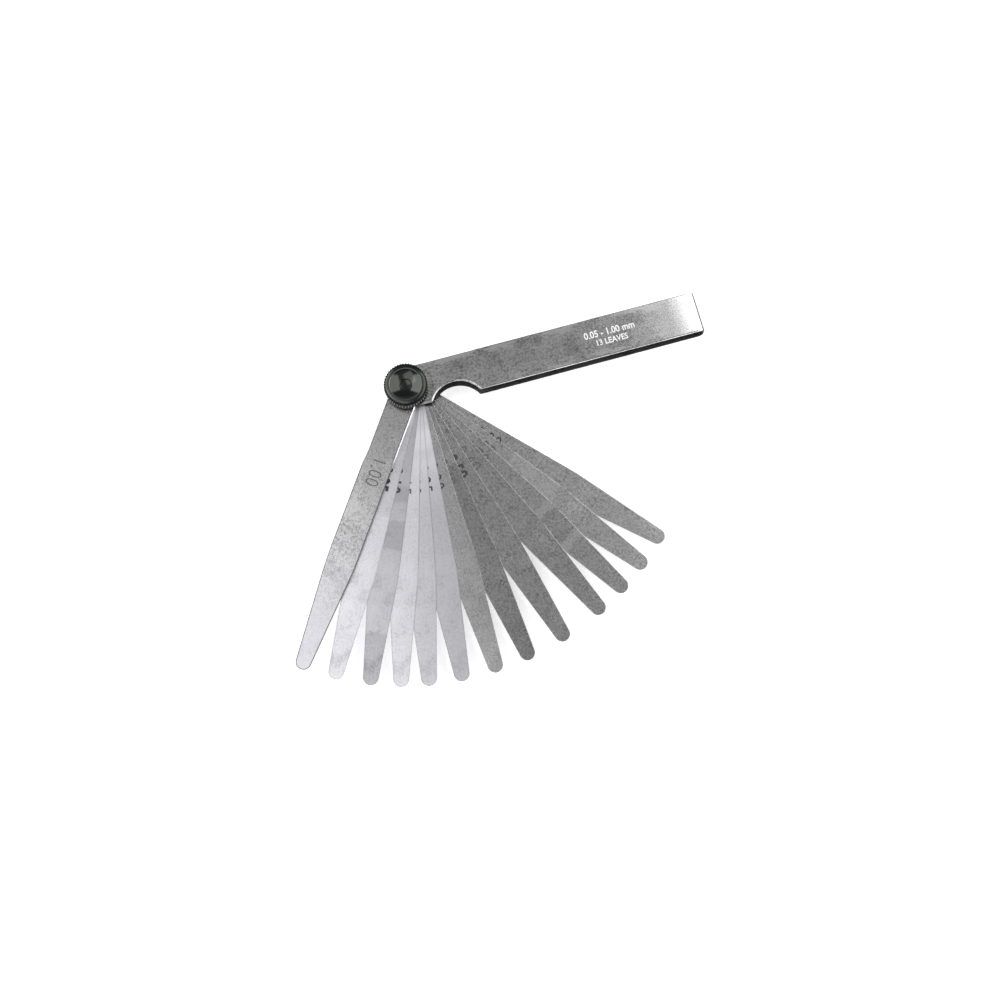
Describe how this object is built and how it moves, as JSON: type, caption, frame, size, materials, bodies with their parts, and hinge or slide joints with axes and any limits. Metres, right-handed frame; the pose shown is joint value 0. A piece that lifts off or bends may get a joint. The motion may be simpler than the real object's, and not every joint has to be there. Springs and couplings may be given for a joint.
{
  "type": "feeler gauge",
  "caption": "Feeler gauge: a fan of thin steel leaves on one pivot screw, in a case folded from sheet steel and clamped by a knurled nut.",
  "frame": {"origin": "on the pivot axis, in the outer face of the pivot screw's head", "axes": "+X along the case from the pivot to its folded end, +Z along the pivot axis out through the knurled nut; the leaves are fanned out towards -Y"},
  "size_m": [0.161, 0.1073, 0.0133],
  "materials": {
    "case_steel": "satin",
    "leaf_ground": "satin",
    "leaf_bright": "satin",
    "screw_steel": "satin",
    "black_oxide": "satin"
  },
  "bodies": {
    "case": {"case": "case_steel", "pivot_screw": "screw_steel"},
    "leaf_1_00mm": {"leaf_1_00mm": "leaf_ground"},
    "leaf_0_05mm": {"leaf_0_05mm": "leaf_bright"},
    "leaf_0_10mm": {"leaf_0_10mm": "leaf_bright"},
    "leaf_0_15mm": {"leaf_0_15mm": "leaf_bright"},
    "leaf_0_20mm": {"leaf_0_20mm": "leaf_bright"},
    "leaf_0_25mm": {"leaf_0_25mm": "leaf_bright"},
    "leaf_0_30mm": {"leaf_0_30mm": "leaf_ground"},
    "leaf_0_40mm": {"leaf_0_40mm": "leaf_ground"},
    "leaf_0_50mm": {"leaf_0_50mm": "leaf_ground"},
    "leaf_0_60mm": {"leaf_0_60mm": "leaf_ground"},
    "leaf_0_70mm": {"leaf_0_70mm": "leaf_ground"},
    "leaf_0_80mm": {"leaf_0_80mm": "leaf_ground"},
    "leaf_0_90mm": {"leaf_0_90mm": "leaf_ground"},
    "nut_washer": {"nut_washer": "screw_steel"},
    "knurled_nut": {"knurled_nut": "black_oxide"}
  },
  "joints": [
    {"name": "leaf_1_00mm_swing", "type": "hinge", "parent": "case", "child": "leaf_1_00mm", "pos_m": [0, 0, 0.00751], "axis": [0, 0, 1], "range_deg": [-235.3, 124.7]},
    {"name": "leaf_0_05mm_swing", "type": "hinge", "parent": "case", "child": "leaf_0_05mm", "pos_m": [0, 0, 0.00696], "axis": [0, 0, 1], "range_deg": [-241.8, 118.2]},
    {"name": "leaf_0_10mm_swing", "type": "hinge", "parent": "case", "child": "leaf_0_10mm", "pos_m": [0, 0, 0.00687], "axis": [0, 0, 1], "range_deg": [-248.5, 111.5]},
    {"name": "leaf_0_15mm_swing", "type": "hinge", "parent": "case", "child": "leaf_0_15mm", "pos_m": [0, 0, 0.00673], "axis": [0, 0, 1], "range_deg": [-254.3, 105.7]},
    {"name": "leaf_0_20mm_swing", "type": "hinge", "parent": "case", "child": "leaf_0_20mm", "pos_m": [0, 0, 0.00653], "axis": [0, 0, 1], "range_deg": [-259.6, 100.4]},
    {"name": "leaf_0_25mm_swing", "type": "hinge", "parent": "case", "child": "leaf_0_25mm", "pos_m": [0, 0, 0.00628], "axis": [0, 0, 1], "range_deg": [-265.9, 94.1]},
    {"name": "leaf_0_30mm_swing", "type": "hinge", "parent": "case", "child": "leaf_0_30mm", "pos_m": [0, 0, 0.00599], "axis": [0, 0, 1], "range_deg": [-272.5, 87.5]},
    {"name": "leaf_0_40mm_swing", "type": "hinge", "parent": "case", "child": "leaf_0_40mm", "pos_m": [0, 0, 0.00562], "axis": [0, 0, 1], "range_deg": [-279.1, 80.9]},
    {"name": "leaf_0_50mm_swing", "type": "hinge", "parent": "case", "child": "leaf_0_50mm", "pos_m": [0, 0, 0.00515], "axis": [0, 0, 1], "range_deg": [-286.8, 73.2]},
    {"name": "leaf_0_60mm_swing", "type": "hinge", "parent": "case", "child": "leaf_0_60mm", "pos_m": [0, 0, 0.00458], "axis": [0, 0, 1], "range_deg": [-295.5, 64.5]},
    {"name": "leaf_0_70mm_swing", "type": "hinge", "parent": "case", "child": "leaf_0_70mm", "pos_m": [0, 0, 0.00391], "axis": [0, 0, 1], "range_deg": [-301.7, 58.3]},
    {"name": "leaf_0_80mm_swing", "type": "hinge", "parent": "case", "child": "leaf_0_80mm", "pos_m": [0, 0, 0.00314], "axis": [0, 0, 1], "range_deg": [-307.8, 52.2]},
    {"name": "leaf_0_90mm_swing", "type": "hinge", "parent": "case", "child": "leaf_0_90mm", "pos_m": [0, 0, 0.00227], "axis": [0, 0, 1], "range_deg": [-314.1, 45.9]},
    {"name": "washer_lift", "type": "slide", "parent": "case", "child": "nut_washer", "axis": [0, 0, 1], "range_m": [0, 0.0007]},
    {"name": "nut_turn", "type": "hinge", "parent": "nut_washer", "child": "knurled_nut", "pos_m": [0, 0, 0.01063], "axis": [0, 0, 1], "range_deg": [0, 360]}
  ],
  "couplings": [
    {"joint": "washer_lift", "follows": "nut_turn", "m_per_rad": 0.0001114}
  ]
}
